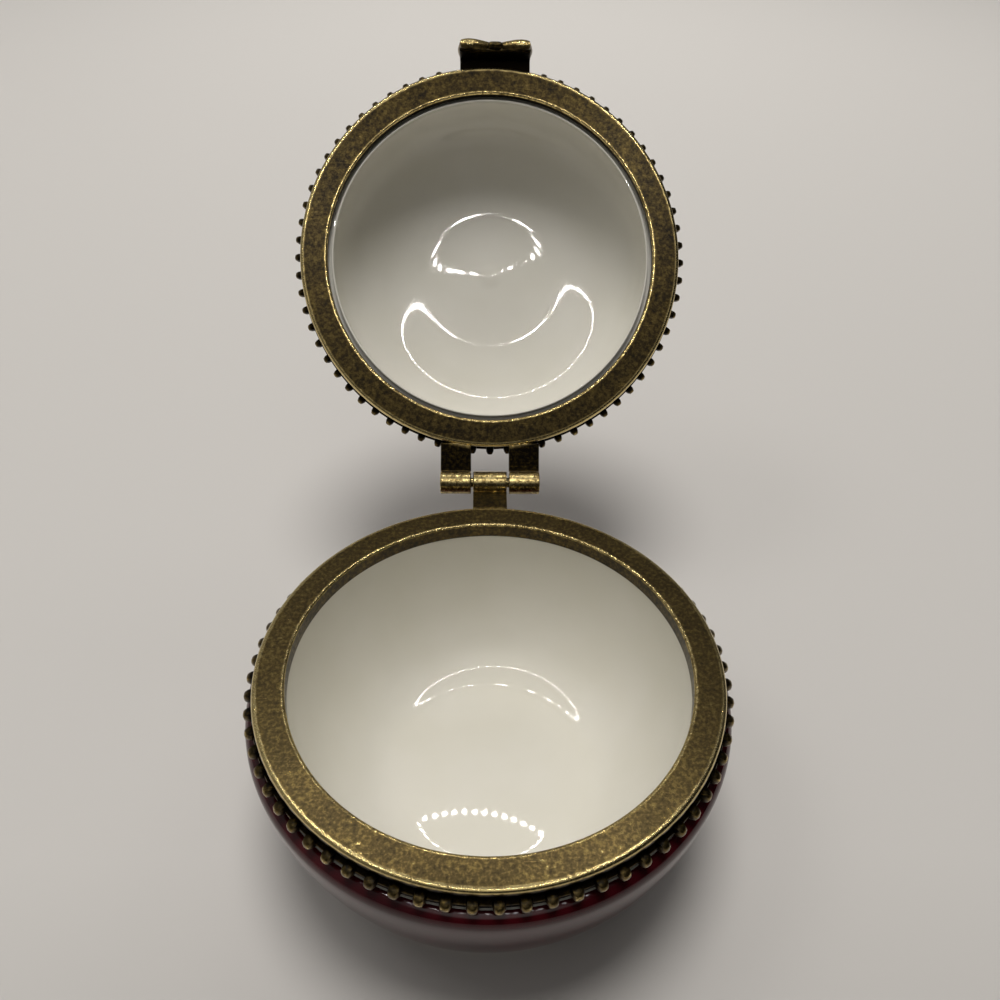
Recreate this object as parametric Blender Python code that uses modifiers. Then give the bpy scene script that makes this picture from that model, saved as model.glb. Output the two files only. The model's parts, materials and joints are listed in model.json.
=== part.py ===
"""Hinged porcelain trinket box in the shape of an apple, standing open.

The lower half is a round bowl with a flat foot, the upper half a dome with a dimple, a stem and a leaf.
Each half has a beaded brass rim, and a three-knuckle hinge at the back joins the rims. A bow-shaped
clasp hangs from the front of the lid's rim.

Every piece is modelled with the box shut, with its heights counted from the face of the bowl's rim.
The lid's pieces then hang on an empty on the hinge axis, which turns them open to their stop.
"""

from math import cos, pi, radians, sin

import bmesh
import bpy
from mathutils import Euler, Matrix, Vector

MM = 0.001

# ---- Driving dimensions: the box ----------------------------------------------------------------
RIM_RADIUS = 25.0 * MM  # outside of both brass flanges
JOINT_HEIGHT = 23.0 * MM  # from the table to the face of the bowl's rim
FACE_GAP = 0.2 * MM  # between the two rims' faces when the box is shut
FIT_GAP = 0.3 * MM  # where porcelain or the clasp sits against brass
OPEN_ANGLE = radians(130.6)  # from shut to the hinge's stop

# ---- Brass rims ---------------------------------------------------------------------------------
BEAD_COUNT = 68
HALF_PITCH = pi / BEAD_COUNT  # the rims have a flat behind each bead
BEAD_RADIUS = 0.55 * MM
BEAD_TIP_RADIUS = 0.28 * MM
BEAD_REACH = 0.95 * MM  # how far a bead stands out of the skirt
BEAD_DEPTH = 1.9 * MM  # from a rim's face to the middle of its beads
FLANGE_THICKNESS = 1.0 * MM
SKIRT_DEPTH = 3.0 * MM
SKIRT_WALL = 0.8 * MM
OUTER_CHAMFER = 0.4 * MM
INNER_CHAMFER = 0.25 * MM
BOWL_FLANGE_HOLE = 21.6 * MM
BOWL_COLLAR_DEPTH = 2.0 * MM
BOWL_COLLAR_WALL = 0.7 * MM
LID_FLANGE_HOLE = 21.44 * MM
BOWL_BEAD_TURN = radians(1.4)  # the bowl's beads are a little out of line with the hinge

# ---- Hinge --------------------------------------------------------------------------------------
HINGE_Y = 29.73 * MM
KNUCKLE_RADIUS = 1.5 * MM
BORE_RADIUS = 0.74 * MM
PIN_RADIUS = 0.66 * MM
MIDDLE_KNUCKLE = 4.4 * MM
OUTER_KNUCKLE = 4.0 * MM
KNUCKLE_GAP = 0.3 * MM
PIN_RECESS = 0.1 * MM  # the pin's ends lie just inside the outer knuckles
TAB_DROP = 0.25 * MM  # from a rim's face to the near side of its tab
TAB_THICKNESS = 1.1 * MM
ROUND_SIDES = 16  # sides of a knuckle, its bore and the pin

# ---- Bowl ---------------------------------------------------------------------------------------
LIP_RADIUS = 23.9 * MM
SHOULDER_RADIUS = 25.0 * MM
BELLY_RADIUS = 26.25 * MM
BELLY_DEPTH = 4.75 * MM  # from the rim's face to the widest ring
BELLY_FALL = 34.6 * MM  # half height of the curve that the belly follows down
BELLY_EXPONENT = 1.6  # 2 would make that curve an ellipse
FOOT_RADIUS = 19.8 * MM
FOOT_ROUND = 1.2 * MM
BOWL_WALL_RADIUS = 22.0 * MM
BOWL_FLOOR_DEPTH = 20.3 * MM
BOWL_FLOOR_RADIUS = 11.7 * MM
BOWL_FLOOR_RISE = 0.3 * MM  # the floor is a little higher in the middle

# ---- Lid ----------------------------------------------------------------------------------------
LID_MOUTH_RADIUS = 20.6 * MM
LID_LIP_RADIUS = 21.0 * MM
LID_LIP_DEPTH = 0.6 * MM  # the lip stands inside the flange's hole, short of its face
DOME_RADIUS = 24.3 * MM
DOME_EXPONENT = 1.9  # 2 would make the dome's outside an ellipse
CREST_RADIUS = 8.5 * MM  # the ring where the apple's top is highest
CREST_HEIGHT = 13.5 * MM
DIMPLE_HEIGHT = 12.4 * MM
LID_WALL_RADIUS = 21.1 * MM
LID_WALL_HEIGHT = 1.8 * MM
CEILING_HEIGHT = 11.4 * MM  # top of the dome inside, before it sinks in the middle
CEILING_EXPONENT = 3.0
BUMP_HEIGHT = 10.8 * MM  # the ceiling sinks to this under the dimple
PORCELAIN_SIDES = 38

# ---- Stem and leaf ------------------------------------------------------------------------------
STEM_RADIUS = 1.1 * MM
STEM_TOP_RADIUS = 1.4 * MM
STEM_HEIGHT = 5.6 * MM
STEM_LEAN = radians(9)
LEAF_LENGTH = 12.0 * MM
LEAF_HALF_WIDTH = 3.0 * MM
LEAF_THICKNESS = 1.0 * MM
LEAF_ARCH = 1.5 * MM
LEAF_TURN = radians(-30)

# ---- Clasp --------------------------------------------------------------------------------------
CLASP_X = 0.45 * MM  # the clasp sits a little off centre
CLASP_WIDTH = 9.8 * MM
CLASP_BACK = -26.3 * MM
CLASP_BOTTOM = -2.1 * MM
CLASP_TOP = 2.7 * MM
LOBE_DEPTH = 1.5 * MM
LOBE_ROUND = 0.65 * MM
KNOT_WIDTH = 2.1 * MM
LUG_FRONT = -26.0 * MM
LUG_BOTTOM = 0.8 * MM
LUG_TOP = 2.95 * MM
LUG_WIDTH = 9.2 * MM


# ---- Scene, materials and modelling helpers -----------------------------------------------------
def clear_scene():
    for obj in list(bpy.data.objects):
        bpy.data.objects.remove(obj, do_unlink=True)


def linear(channel):
    """One sRGB channel from 0 to 255 as a linear value."""
    value = channel / 255
    return value / 12.92 if value <= 0.04045 else ((value + 0.055) / 1.055) ** 2.4


def make_material(name, rgb, roughness, metallic=0.0):
    material = bpy.data.materials.new(name)
    material.use_nodes = True
    shader = material.node_tree.nodes["Principled BSDF"]
    shader.inputs["Base Color"].default_value = (*(linear(c) for c in rgb), 1.0)
    shader.inputs["Roughness"].default_value = roughness
    shader.inputs["Metallic"].default_value = metallic
    return material


def add_object(name, mesh, collection):
    obj = bpy.data.objects.new(name, mesh)
    collection.objects.link(obj)
    return obj


def freeze(obj):
    """Put the evaluated mesh in place of the object's modifiers."""
    bpy.context.view_layer.update()
    graph = bpy.context.evaluated_depsgraph_get()
    mesh = bpy.data.meshes.new_from_object(obj.evaluated_get(graph))
    obj.modifiers.clear()
    obj.data = mesh


def turned(name, profile, sides, closed, first_side=0.0):
    """Turn a profile of (radius, height) about Z. It runs down the outer side, and starts at an angle from +X."""
    mesh = bpy.data.meshes.new(name)
    bm = bmesh.new()
    points = [bm.verts.new((radius, 0, height)) for radius, height in profile]
    for start, end in zip(points, points[1:]):
        bm.edges.new((start, end))
    if closed:
        bm.edges.new((points[-1], points[0]))
    bm.to_mesh(mesh)
    bm.free()
    obj = add_object(name, mesh, parts)
    screw = obj.modifiers.new("Turn", "SCREW")
    screw.steps = screw.render_steps = sides
    screw.use_merge_vertices = True
    screw.merge_threshold = 0.01 * MM
    freeze(obj)
    obj.data.transform(Matrix.Rotation(first_side, 4, "Z"))
    return obj


def box(name, low, high):
    """A box between two corners, as a tool for a Boolean."""
    mesh = bpy.data.meshes.new(name)
    bm = bmesh.new()
    low, high = Vector(low), Vector(high)
    size = Matrix.Diagonal((*(high - low), 1.0))
    bmesh.ops.create_cube(bm, size=1.0, matrix=Matrix.Translation((low + high) / 2) @ size)
    bm.to_mesh(mesh)
    bm.free()
    return add_object(name, mesh, cutters)


def rod(name, radius, low_x, high_x, sides):
    """A round bar along the hinge axis."""
    mesh = bpy.data.meshes.new(name)
    bm = bmesh.new()
    middle = Vector(((low_x + high_x) / 2, HINGE_Y, FACE_GAP / 2))
    bmesh.ops.create_cone(
        bm,
        cap_ends=True,
        segments=sides,
        radius1=radius,
        radius2=radius,
        depth=high_x - low_x,
        matrix=Matrix.Translation(middle) @ Matrix.Rotation(pi / 2, 4, "Y"),
    )
    bm.to_mesh(mesh)
    bm.free()
    return add_object(name, mesh, cutters)


def apply_tools(obj, tools, operation):
    """Join tools to a piece, or cut it with them, and remove them."""
    for tool in tools:
        boolean = obj.modifiers.new(tool.name, "BOOLEAN")
        boolean.operation = operation
        boolean.object = tool
    freeze(obj)
    for tool in tools:
        bpy.data.objects.remove(tool, do_unlink=True)


def finish(obj, material):
    obj.data.materials.clear()
    obj.data.materials.append(material)
    obj.data.shade_smooth()
    obj.data.set_sharp_from_angle(angle=radians(35))
    return obj


def quarter(start, end, steps, first_vertical, exponent=2.0):
    """Points of a quarter oval from start to end, both (radius, height). It leaves start upright or level."""
    (r0, z0), (r1, z1) = start, end
    points = []
    for step in range(1, steps + 1):
        angle = pi / 2 * step / steps
        slow, fast = 1 - abs(cos(angle)) ** (2 / exponent), sin(angle) ** (2 / exponent)
        along_r, along_z = (slow, fast) if first_vertical else (fast, slow)
        points.append((r0 + (r1 - r0) * along_r, z0 + (z1 - z0) * along_z))
    return points


# ---- Brass rims ---------------------------------------------------------------------------------
def rim_section(hole_radius, collar_depth, collar_wall):
    """Half section of the bowl's rim, face at height 0. The lid's rim is its mirror image."""
    skirt_inside = RIM_RADIUS - SKIRT_WALL
    outside = [
        (hole_radius + INNER_CHAMFER, 0),
        (RIM_RADIUS - OUTER_CHAMFER, 0),
        (RIM_RADIUS, -OUTER_CHAMFER),
        (RIM_RADIUS, -SKIRT_DEPTH),
    ]
    inside = [(skirt_inside, -SKIRT_DEPTH), (skirt_inside, -FLANGE_THICKNESS)]
    if collar_depth:
        inside += [
            (hole_radius + collar_wall, -FLANGE_THICKNESS),
            (hole_radius + collar_wall, -collar_depth),
            (hole_radius, -collar_depth),
        ]
    else:
        inside.append((hole_radius, -FLANGE_THICKNESS))
    return outside + inside + [(hole_radius, -INNER_CHAMFER)]


def bead_row(height, turn, bare_half_width):
    """The beads round a rim, as blunt studs. None lies at the front within bare_half_width of the clasp."""
    sunk = 0.3 * MM
    mesh = bpy.data.meshes.new("beads")
    bm = bmesh.new()
    for index in range(BEAD_COUNT):
        angle = pi / 2 + turn + 2 * pi * index / BEAD_COUNT
        if sin(angle) < 0 and abs(RIM_RADIUS * cos(angle) - CLASP_X) < bare_half_width:
            continue
        outward = Matrix.Rotation(angle, 4, "Z") @ Matrix.Rotation(pi / 2, 4, "Y")
        middle = Vector((0, 0, RIM_RADIUS + (BEAD_REACH - sunk) / 2))
        bmesh.ops.create_cone(
            bm,
            cap_ends=True,
            segments=6,
            radius1=BEAD_RADIUS,
            radius2=BEAD_TIP_RADIUS,
            depth=BEAD_REACH + sunk,
            matrix=Matrix.Translation((0, 0, height)) @ outward @ Matrix.Translation(middle),
        )
    bm.to_mesh(mesh)
    bm.free()
    return add_object("beads", mesh, cutters)


def hinge_leaf(name, low_x, high_x, tab_low, tab_high):
    """A flat tab from the skirt to the barrel, and its knuckle, as tools to join to a rim."""
    skirt_middle = RIM_RADIUS - SKIRT_WALL / 2
    tab = box(f"{name}_tab", (low_x, skirt_middle, tab_low), (high_x, HINGE_Y, tab_high))
    return [tab, rod(f"{name}_knuckle", KNUCKLE_RADIUS, low_x, high_x, ROUND_SIDES)]


def bore_tool():
    reach = MIDDLE_KNUCKLE / 2 + KNUCKLE_GAP + OUTER_KNUCKLE + 1.0 * MM
    return rod("bore", BORE_RADIUS, -reach, reach, ROUND_SIDES)


def make_bowl_rim(brass):
    section = rim_section(BOWL_FLANGE_HOLE, BOWL_COLLAR_DEPTH, BOWL_COLLAR_WALL)
    rim = turned("bowl_rim", section, BEAD_COUNT, True, HALF_PITCH + BOWL_BEAD_TURN)
    half = MIDDLE_KNUCKLE / 2
    leaf = hinge_leaf("middle", -half, half, -TAB_DROP - TAB_THICKNESS, -TAB_DROP)
    apply_tools(rim, [bead_row(-BEAD_DEPTH, BOWL_BEAD_TURN, 0), *leaf], "UNION")
    apply_tools(rim, [bore_tool()], "DIFFERENCE")
    return finish(rim, brass)


def make_lid_rim(brass):
    section = rim_section(LID_FLANGE_HOLE, 0, 0)
    mirrored = [(radius, FACE_GAP - height) for radius, height in reversed(section)]
    rim = turned("lid_rim", mirrored, BEAD_COUNT, True, HALF_PITCH)
    near = MIDDLE_KNUCKLE / 2 + KNUCKLE_GAP
    far = near + OUTER_KNUCKLE
    tab_low = FACE_GAP + TAB_DROP
    tab_high = tab_low + TAB_THICKNESS
    lug = box(
        "lug",
        (CLASP_X - LUG_WIDTH / 2, LUG_FRONT, LUG_BOTTOM),
        (CLASP_X + LUG_WIDTH / 2, SKIRT_WALL / 2 - RIM_RADIUS, LUG_TOP),
    )
    tools = [
        bead_row(FACE_GAP + BEAD_DEPTH, 0, LUG_WIDTH / 2 + BEAD_RADIUS),
        *hinge_leaf("left", -far, -near, tab_low, tab_high),
        *hinge_leaf("right", near, far, tab_low, tab_high),
        lug,
    ]
    apply_tools(rim, tools, "UNION")
    apply_tools(rim, [bore_tool()], "DIFFERENCE")
    return finish(rim, brass)


def make_hinge_pin(steel):
    reach = MIDDLE_KNUCKLE / 2 + KNUCKLE_GAP + OUTER_KNUCKLE - PIN_RECESS
    pin = rod("hinge_pin", PIN_RADIUS, -reach, reach, ROUND_SIDES)
    cutters.objects.unlink(pin)
    parts.objects.link(pin)
    return finish(pin, steel)


# ---- Porcelain ----------------------------------------------------------------------------------
def bowl_profile():
    """Down the outside from the lip, across the foot, and up the inside."""
    lip_top = -FLANGE_THICKNESS - FIT_GAP
    shelf = -BOWL_COLLAR_DEPTH - FIT_GAP
    shoulder = -SKIRT_DEPTH - FIT_GAP
    foot = -JOINT_HEIGHT
    lip_inside = BOWL_FLANGE_HOLE + BOWL_COLLAR_WALL + FIT_GAP
    profile = [(lip_inside, lip_top), (LIP_RADIUS, lip_top), (LIP_RADIUS, shoulder)]
    profile.append((SHOULDER_RADIUS, shoulder))
    profile += quarter(profile[-1], (BELLY_RADIUS, -BELLY_DEPTH), 2, first_vertical=False)
    belly_end = foot + FOOT_ROUND
    belly_steps = 5
    for step in range(1, belly_steps + 1):
        height = -BELLY_DEPTH + (belly_end + BELLY_DEPTH) * step / belly_steps
        fall = -(height + BELLY_DEPTH) / BELLY_FALL
        profile.append((BELLY_RADIUS * (1 - fall**BELLY_EXPONENT) ** (1 / BELLY_EXPONENT), height))
    profile += quarter(profile[-1], (FOOT_RADIUS, foot), 2, first_vertical=True)
    profile += [(0, foot), (0, BOWL_FLOOR_RISE - BOWL_FLOOR_DEPTH), (BOWL_FLOOR_RADIUS, -BOWL_FLOOR_DEPTH)]
    profile += quarter(profile[-1], (BOWL_WALL_RADIUS, shelf), 6, first_vertical=False)
    profile.append((lip_inside, shelf))
    return profile


def make_bowl(glaze):
    profile = bowl_profile()
    # The profile turns as an open line from axis to axis, so it starts where it meets the axis inside.
    start = profile.index((0, BOWL_FLOOR_RISE - BOWL_FLOOR_DEPTH))
    line = profile[start:] + profile[:start]
    return finish(turned("bowl", line, PORCELAIN_SIDES, closed=False), glaze)


def dome_top(crest_radius, crest_height, middle_height, steps):
    """From the crest ring in to the middle, as a half wave."""
    points = []
    for step in range(1, steps + 1):
        along = step / steps
        drop = (crest_height - middle_height) * (1 - cos(pi * along)) / 2
        points.append((crest_radius * (1 - along), crest_height - drop))
    return points


def lid_profile():
    """From the dimple down the outside to the lip, then up the inside to the middle of the ceiling."""
    lip_face = FACE_GAP + LID_LIP_DEPTH
    under_flange = FACE_GAP + FLANGE_THICKNESS + FIT_GAP
    above_skirt = FACE_GAP + SKIRT_DEPTH + FIT_GAP
    base = (DOME_RADIUS, above_skirt)
    crest = (CREST_RADIUS, CREST_HEIGHT)
    climb = quarter(base, crest, 5, True, DOME_EXPONENT)
    outside = [base, *climb, *dome_top(CREST_RADIUS, CREST_HEIGHT, DIMPLE_HEIGHT, 3)]
    profile = list(reversed(outside))
    profile += [(LIP_RADIUS, above_skirt), (LIP_RADIUS, under_flange)]
    profile += [(LID_LIP_RADIUS, under_flange), (LID_LIP_RADIUS, lip_face)]
    profile += [(LID_MOUTH_RADIUS, lip_face), (LID_WALL_RADIUS, LID_WALL_HEIGHT)]
    profile += quarter(profile[-1], (0, CEILING_HEIGHT), 6, True, CEILING_EXPONENT)[:-1]
    profile += dome_top(*profile[-1], BUMP_HEIGHT, 2)
    return profile


def stem_tool():
    mesh = bpy.data.meshes.new("stem")
    bm = bmesh.new()
    sunk = 0.8 * MM
    lean = Matrix.Rotation(STEM_LEAN, 4, "Y")
    place = Matrix.Translation((0, 0, DIMPLE_HEIGHT - sunk)) @ lean
    bmesh.ops.create_cone(
        bm,
        cap_ends=True,
        segments=12,
        radius1=STEM_RADIUS,
        radius2=STEM_TOP_RADIUS,
        depth=STEM_HEIGHT,
        matrix=place @ Matrix.Translation((0, 0, STEM_HEIGHT / 2)),
    )
    bm.to_mesh(mesh)
    bm.free()
    return add_object("stem", mesh, cutters)


def leaf_tool():
    """A leaf that starts at the stem and lies out over the crest, with its midrib sunk."""
    along_steps, across_steps = 8, 4
    least_half_width = 0.25 * MM
    midrib_depth = 0.45 * MM
    start_x, start_z = 0.9 * MM, DIMPLE_HEIGHT + 1.2 * MM
    rise = 0.3 * MM
    mesh = bpy.data.meshes.new("leaf")
    bm = bmesh.new()
    bmesh.ops.create_grid(bm, x_segments=along_steps, y_segments=across_steps, size=1.0)
    for vertex in bm.verts:
        along, across = (vertex.co.x + 1) / 2, vertex.co.y
        half_width = max(LEAF_HALF_WIDTH * sin(pi * along**0.8), least_half_width)
        lift = LEAF_ARCH * sin(pi * along) + rise * along
        lift -= midrib_depth * (1 - abs(across)) * sin(pi * along)
        vertex.co = (start_x + LEAF_LENGTH * along, half_width * across, start_z + lift)
    bmesh.ops.rotate(bm, verts=bm.verts, cent=(0, 0, 0), matrix=Matrix.Rotation(LEAF_TURN, 3, "Z"))
    bm.to_mesh(mesh)
    bm.free()
    leaf = add_object("leaf", mesh, cutters)
    solidify = leaf.modifiers.new("Thickness", "SOLIDIFY")
    solidify.thickness = LEAF_THICKNESS
    solidify.offset = -1
    freeze(leaf)
    return leaf


def make_lid_shell(glaze):
    shell = turned("lid_shell", lid_profile(), PORCELAIN_SIDES, closed=False)
    apply_tools(shell, [leaf_tool(), stem_tool()], "UNION")
    return finish(shell, glaze)


# ---- Clasp --------------------------------------------------------------------------------------
def rounded_block(name, low, high, rounding, taper_end=0.0, taper=1.0):
    """A block with rounded edges. The end on the side of taper_end (-1 or 1 in X) has its height scaled."""
    block = box(name, low, high)
    if taper_end:
        middle_x, middle_z = (low[0] + high[0]) / 2, (low[2] + high[2]) / 2
        for vertex in block.data.vertices:
            if (vertex.co.x - middle_x) * taper_end > 0:
                vertex.co.z = middle_z + (vertex.co.z - middle_z) * taper
    bevel = block.modifiers.new("Round", "BEVEL")
    bevel.width = rounding
    bevel.segments = 2
    freeze(block)
    return block


def make_bow_clasp(brass):
    """Two puffed loops and a knot on a flat back bar."""
    bar_inset = 0.35 * MM
    bar_depth = 0.8 * MM
    knot_inset = 0.2 * MM
    knot_extra = 0.1 * MM
    loop_overlap = 0.35 * MM
    half = CLASP_WIDTH / 2
    bar = rounded_block(
        "bow_clasp",
        (CLASP_X - half + bar_inset, CLASP_BACK - bar_depth, CLASP_BOTTOM + bar_inset),
        (CLASP_X + half - bar_inset, CLASP_BACK, CLASP_TOP - bar_inset),
        0.25 * MM,
    )
    cutters.objects.unlink(bar)
    parts.objects.link(bar)
    tools = []
    for side in (-1, 1):
        near, far = side * (KNOT_WIDTH / 2 - loop_overlap), side * half
        tools.append(
            rounded_block(
                f"loop{side}",
                (CLASP_X + min(near, far), CLASP_BACK - LOBE_DEPTH, CLASP_BOTTOM),
                (CLASP_X + max(near, far), CLASP_BACK - 0.05 * MM, CLASP_TOP),
                LOBE_ROUND,
                taper_end=-side,
                taper=0.8,
            )
        )
    tools.append(
        rounded_block(
            "knot",
            (CLASP_X - KNOT_WIDTH / 2, CLASP_BACK - LOBE_DEPTH + knot_extra, CLASP_BOTTOM + knot_inset),
            (CLASP_X + KNOT_WIDTH / 2, CLASP_BACK - 0.1 * MM, CLASP_TOP - knot_inset),
            LOBE_ROUND,
        )
    )
    apply_tools(bar, tools, "UNION")
    return finish(bar, brass)


# ---- Assembly -----------------------------------------------------------------------------------
clear_scene()
parts = bpy.data.collections.new("apple_trinket_box")
cutters = bpy.data.collections.new("cutters")
bpy.context.scene.collection.children.link(parts)
bpy.context.scene.collection.children.link(cutters)

antique_brass = make_material("antique_brass", (118, 104, 66), 0.42, metallic=1.0)
polished_brass = make_material("polished_brass", (176, 152, 88), 0.3, metallic=1.0)
red_glaze = make_material("crimson_glaze", (112, 18, 30), 0.08)

joint_plane = Vector((0, 0, JOINT_HEIGHT))
hinge_axis = Vector((0, HINGE_Y, FACE_GAP / 2))

for piece in (make_bowl(red_glaze), make_bowl_rim(antique_brass), make_hinge_pin(polished_brass)):
    piece.location = joint_plane

lid_pivot = bpy.data.objects.new("lid_pivot", None)
parts.objects.link(lid_pivot)
lid_pivot.location = joint_plane + hinge_axis
lid_pivot.rotation_euler = Euler((-OPEN_ANGLE, 0, 0))

for piece in (make_lid_shell(red_glaze), make_lid_rim(antique_brass), make_bow_clasp(antique_brass)):
    piece.parent = lid_pivot
    piece.location = -hinge_axis
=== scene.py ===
# %% [markdown]
# # A porcelain apple box with beaded brass rims
#
# This lesson builds the visible surface of a small hinged box. The bowl and the lid are glazed
# porcelain, crimson outside and white inside. Each has a cast brass rim with a row of beads, and a
# three-knuckle hinge joins the rims. A brass bow on the lid's front is the clasp.
#
# The CAD model is loaded first and is never changed. It gives the hinge's place and how far the lid
# turns. Each piece made here stands for one of its solids, and the stem and the leaf ride on the lid.

# %% Load the frame
import json
from math import cos, degrees, hypot, pi, radians, sin

import bpy
from mathutils import Matrix, Vector


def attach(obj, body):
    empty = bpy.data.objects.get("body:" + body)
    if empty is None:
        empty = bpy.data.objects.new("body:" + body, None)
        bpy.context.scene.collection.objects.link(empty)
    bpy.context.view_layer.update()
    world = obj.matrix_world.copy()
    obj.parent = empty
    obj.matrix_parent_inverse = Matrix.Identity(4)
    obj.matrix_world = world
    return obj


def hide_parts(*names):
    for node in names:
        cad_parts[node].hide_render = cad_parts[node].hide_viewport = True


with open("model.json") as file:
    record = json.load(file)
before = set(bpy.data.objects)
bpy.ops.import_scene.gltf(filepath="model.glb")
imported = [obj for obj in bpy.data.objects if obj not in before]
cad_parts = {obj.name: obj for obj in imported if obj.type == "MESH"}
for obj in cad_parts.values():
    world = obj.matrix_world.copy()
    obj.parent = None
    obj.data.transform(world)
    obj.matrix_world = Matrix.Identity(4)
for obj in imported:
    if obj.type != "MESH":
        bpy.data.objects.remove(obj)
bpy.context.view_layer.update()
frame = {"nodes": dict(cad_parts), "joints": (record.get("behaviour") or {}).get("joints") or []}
print("CAD pieces:", sorted(frame["nodes"]))

# %% [markdown]
# ## Sizes and places
#
# Every piece is modelled with the box shut and its heights counted from the face of the bowl's rim.
# That keeps the numbers simple: both rims are then level rings about the Z axis. The last step for a
# piece is to lift it to the rim's height, and the lid's pieces are also turned open about the hinge.

# %% Dimensions
MM = 0.001
FACE_GAP = 0.2 * MM  # between the two rims when the box is shut
RIM_RADIUS = 25.0 * MM
BOWL_HOLE = 21.6 * MM
LID_HOLE = 21.44 * MM
CLASP_X = 0.45 * MM  # the clasp sits a little off centre

hinge_joint = frame["joints"][0]
hinge_place = Vector(hinge_joint["pos_m"])
hinge_y = hinge_place.y
rim_height = hinge_place.z - FACE_GAP / 2
open_angle = radians(hinge_joint["range_deg"][1])

SHUT_TO_WORLD = Matrix.Translation((0, 0, rim_height))
TURN_OPEN = (
    Matrix.Translation((0, hinge_y, FACE_GAP / 2))
    @ Matrix.Rotation(-open_angle, 4, "X")
    @ Matrix.Translation((0, -hinge_y, -FACE_GAP / 2))
)
TO_WORLD = {"base": SHUT_TO_WORLD, "lid": SHUT_TO_WORLD @ TURN_OPEN}
print(f"rim face {rim_height / MM:.1f} mm up, hinge {hinge_y / MM:.2f} mm back")

# %% [markdown]
# ## Selecting and finishing in code
#
# An operator works on whatever is selected, so each step starts with nothing selected. A finished
# piece has its object at the origin and its place in its mesh, as the CAD pieces have.
#
# The brass wears by touch, and its pattern belongs to the metal and not to the room. So every piece
# remembers two things on its own points: where the point is with the box shut, and how worn it is.
# That second value also holds painted shade on the lid's rim and on the bow, and painted highlights
# on the side edges of the hinge's tabs.


# %% Helpers for selecting
def deselect_all():
    """Leave edit mode and select nothing."""
    if bpy.context.object and bpy.context.object.mode != "OBJECT":
        bpy.ops.object.mode_set(mode="OBJECT")
    bpy.ops.object.select_all(action="DESELECT")


def make_active(piece):
    """Select one piece alone, so that the next operator works on it."""
    deselect_all()
    piece.select_set(True)
    bpy.context.view_layer.objects.active = piece


def edit_all(piece):
    """Enter edit mode with every point of a piece selected."""
    make_active(piece)
    bpy.ops.object.mode_set(mode="EDIT")
    bpy.ops.mesh.select_mode(type="VERT")
    bpy.ops.mesh.select_all(action="SELECT")


def select_faces(piece, wanted):
    """Enter edit mode with only the faces selected for which wanted(centre, normal) is true."""
    make_active(piece)
    bpy.ops.object.mode_set(mode="EDIT")
    bpy.ops.mesh.select_mode(type="FACE")
    bpy.ops.mesh.select_all(action="DESELECT")
    bpy.ops.object.mode_set(mode="OBJECT")
    for face in piece.data.polygons:
        face.select = bool(wanted(face.center, face.normal))
    bpy.ops.object.mode_set(mode="EDIT")


# %% Helpers for shaping and joining
def new_piece(name):
    """The primitive that was added last, under its name."""
    piece = bpy.context.object
    piece.name = piece.data.name = name
    return piece


def apply_modifier(piece, kind, **settings):
    """Add a modifier with its settings and apply it."""
    make_active(piece)
    modifier = piece.modifiers.new(kind.title(), kind)
    for name, value in settings.items():
        setattr(modifier, name, value)
    bpy.ops.object.modifier_apply(modifier=modifier.name)


def apply_place(piece):
    """Move a piece's place, turn and scale into its mesh."""
    make_active(piece)
    bpy.ops.object.transform_apply(location=True, rotation=True, scale=True)


def join(pieces, name):
    """Make one piece of several, under a new name."""
    deselect_all()
    for piece in pieces:
        piece.select_set(True)
    bpy.context.view_layer.objects.active = pieces[0]
    bpy.ops.object.join()
    pieces[0].name = pieces[0].data.name = name
    return pieces[0]


def cut(piece, tool, operation="DIFFERENCE"):
    """Cut a tool out of a piece, or unite the two, and remove the tool."""
    apply_modifier(piece, "BOOLEAN", operation=operation, object=tool)
    bpy.data.objects.remove(tool, do_unlink=True)


# %% Helpers for finishing
def cover(piece, *materials):
    """Give a piece its materials. A face's material number counts from the first of them."""
    piece.data.materials.clear()
    for material in materials:
        piece.data.materials.append(material)


def smooth(piece, angle, keep_flats=False):
    """Smooth shading with creases over an angle. Keep_flats keeps big faces flat beside a rounding."""
    make_active(piece)
    bpy.ops.object.shade_smooth_by_angle(angle=radians(angle))
    if keep_flats:
        apply_modifier(piece, "WEIGHTED_NORMAL", keep_sharp=True, weight=100)


def remember(piece, wear_and_painted_light=lambda point: 0):
    """Store each point's place in the shut box and the level the given function finds there: how worn it
    is, about 0 to 1, with painted shade and highlights on some pieces. Glaze shows none.
    """
    mesh = piece.data
    places = mesh.attributes.new("shut_place", "FLOAT_VECTOR", "POINT")
    for vertex in mesh.vertices:
        places.data[vertex.index].vector = vertex.co
    wear_and_light_values = mesh.attributes.new("wear_and_painted_light", "FLOAT", "POINT")
    for vertex in mesh.vertices:
        wear_and_light_values.data[vertex.index].value = wear_and_painted_light(vertex.co)


def settle(piece, body, slot, *stands_for):
    """Take a finished piece from the shut box to its body's place, and give it its body. The slot argument
    is not used.
    """
    piece.matrix_world = TO_WORLD[body]
    apply_place(piece)
    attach(piece, body)
    if stands_for:
        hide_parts(*stands_for)
    print(f"{piece.name}: {len(piece.data.polygons)} faces, rides on {body}")


# %% [markdown]
# ## Turning on a lathe
#
# Porcelain halves and brass rims are all round, so they are made as on a lathe: a line of points is
# drawn from one point by extruding, and spun about the Z axis. A Screw modifier would turn the line
# too, but Spin works in edit mode, where the seam and the two ends are merged straight after it.
# `rounded` lists the line's points from a few corners, each with its own rounding, because a cast or
# glazed edge is never sharp.

# %% Helpers for drawing lines
ARC_STEPS = 5


def in_mm(rows):
    """Rows of numbers that are given in mm, in metres."""
    return [tuple(value * MM for value in row) for row in rows]


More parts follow.
